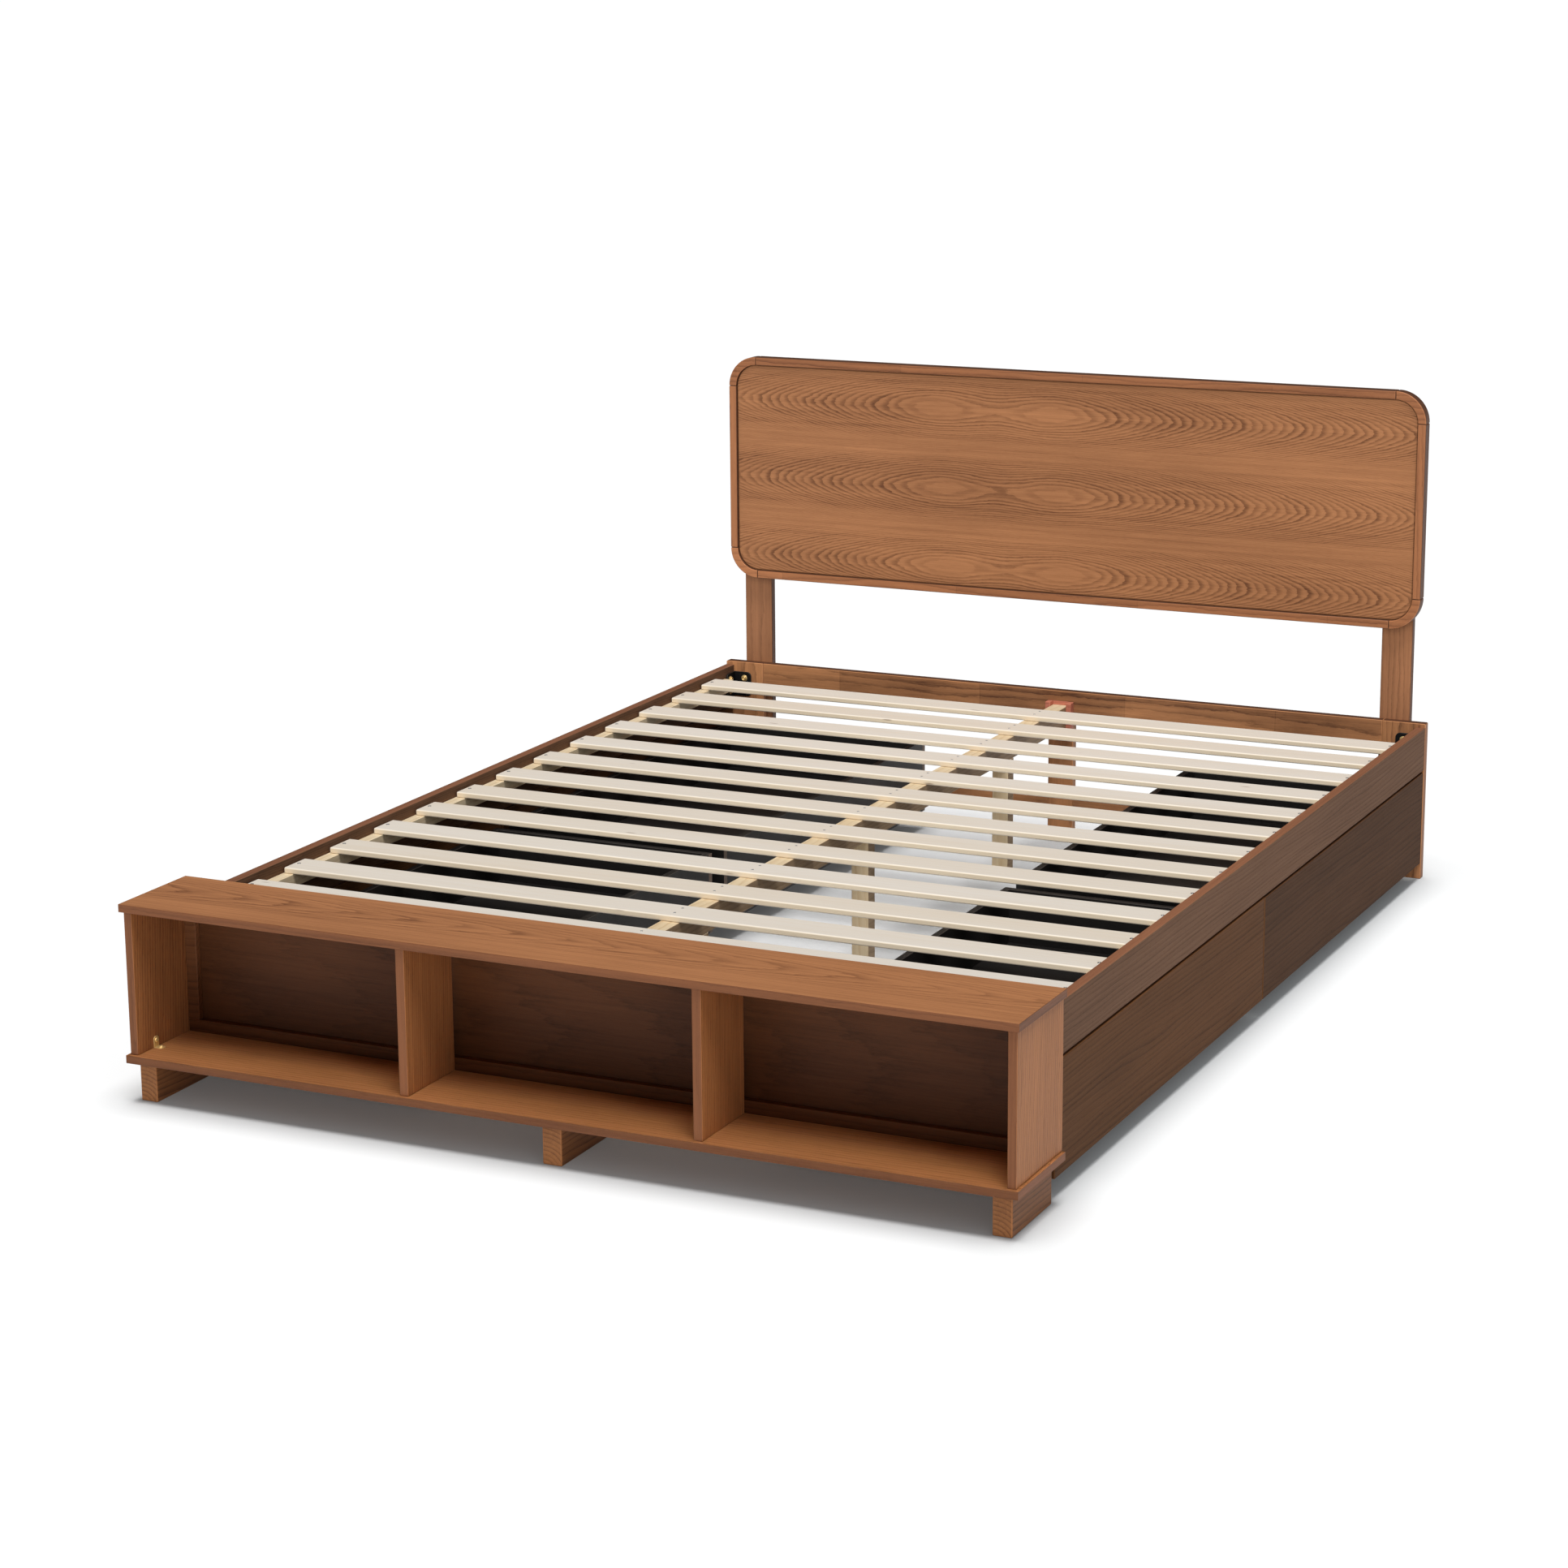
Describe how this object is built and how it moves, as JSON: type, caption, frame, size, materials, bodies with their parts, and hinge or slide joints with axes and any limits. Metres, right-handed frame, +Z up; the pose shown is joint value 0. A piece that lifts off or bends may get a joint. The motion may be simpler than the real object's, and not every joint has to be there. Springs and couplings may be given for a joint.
{
  "type": "platform bed with storage drawers",
  "caption": "Wood platform bed with a slatted base, a framed headboard, an open bookcase across the foot and roll-out drawers under both side rails.",
  "frame": {"origin": "on the floor, under the middle of the bed's outer box", "axes": "+X to the right seen from the foot, +Y from the foot to the head, +Z up"},
  "size_m": [1.62, 2.3002, 1.002],
  "materials": {
    "walnut_veneer": "satin walnut-stained ash veneer",
    "walnut_panel": "satin walnut-stained ash veneer with cathedral grain",
    "walnut_edging": "satin walnut-stained solid wood",
    "drawer_veneer": "satin walnut-stained ash veneer, cooler and darker",
    "head_wood": "satin stained solid wood, blotchy",
    "pine": "bare planed pine",
    "slat_poplar": "bare sanded poplar",
    "black_lining": "matte black laminated board",
    "black_steel": "black powder coat"
  },
  "bodies": {
    "bed_frame": {"shelf_top_board": "walnut_veneer", "shelf_bottom_board": "walnut_veneer", "shelf_back_panel": "walnut_veneer", "front_foot_middle": "walnut_veneer", "shelf_back_frame": "walnut_edging", "shelf_side_left": "walnut_veneer", "shelf_divider_left": "walnut_veneer", "front_foot_left": "walnut_veneer", "side_rail_left": "drawer_veneer", "slat_ledger_left": "pine", "head_leg_left": "head_wood", "headboard_post_left": "walnut_edging", "headboard_stile_left": "walnut_edging", "corner_bracket_left": "black_steel", "headboard_corner_top_left": "walnut_edging", "headboard_corner_bottom_left": "walnut_edging", "shelf_side_right": "walnut_veneer", "shelf_divider_right": "walnut_veneer", "front_foot_right": "walnut_veneer", "side_rail_right": "drawer_veneer", "slat_ledger_right": "pine", "head_leg_right": "head_wood", "headboard_post_right": "walnut_edging", "headboard_stile_right": "walnut_edging", "corner_bracket_right": "black_steel", "headboard_corner_top_right": "walnut_edging", "headboard_corner_bottom_right": "walnut_edging", "headboard_top_rail": "walnut_edging", "headboard_bottom_rail": "walnut_edging", "headboard_panel": "walnut_panel", "head_rail": "head_wood", "head_centre_leg": "head_wood", "centre_beam_pocket": "head_wood", "head_lower_rail_left": "head_wood", "head_lower_rail_right": "head_wood", "centre_beam": "pine", "beam_leg_1": "pine", "beam_leg_2": "pine", "beam_leg_3": "pine", "slat_01": "slat_poplar", "slat_02": "slat_poplar", "slat_03": "slat_poplar", "slat_04": "slat_poplar", "slat_05": "slat_poplar", "slat_06": "slat_poplar", "slat_07": "slat_poplar", "slat_08": "slat_poplar", "slat_09": "slat_poplar", "slat_10": "slat_poplar", "slat_11": "slat_poplar", "slat_12": "slat_poplar", "slat_13": "slat_poplar"},
    "drawer_left_front": {"drawer_front_left_front": "drawer_veneer", "drawer_box_left_front": "black_lining"},
    "drawer_left_rear": {"drawer_front_left_rear": "drawer_veneer", "drawer_box_left_rear": "black_lining"},
    "drawer_right_front": {"drawer_front_right_front": "drawer_veneer", "drawer_box_right_front": "black_lining"},
    "drawer_right_rear": {"drawer_front_right_rear": "drawer_veneer", "drawer_box_right_rear": "black_lining"}
  },
  "joints": [
    {"name": "drawer_left_front_slide", "type": "slide", "parent": "bed_frame", "child": "drawer_left_front", "axis": [-1, 0, 0], "range_m": [0, 0.45]},
    {"name": "drawer_left_rear_slide", "type": "slide", "parent": "bed_frame", "child": "drawer_left_rear", "axis": [-1, 0, 0], "range_m": [0, 0.45]},
    {"name": "drawer_right_front_slide", "type": "slide", "parent": "bed_frame", "child": "drawer_right_front", "axis": [1, 0, 0], "range_m": [0, 0.45]},
    {"name": "drawer_right_rear_slide", "type": "slide", "parent": "bed_frame", "child": "drawer_right_rear", "axis": [1, 0, 0], "range_m": [0, 0.45]}
  ]
}
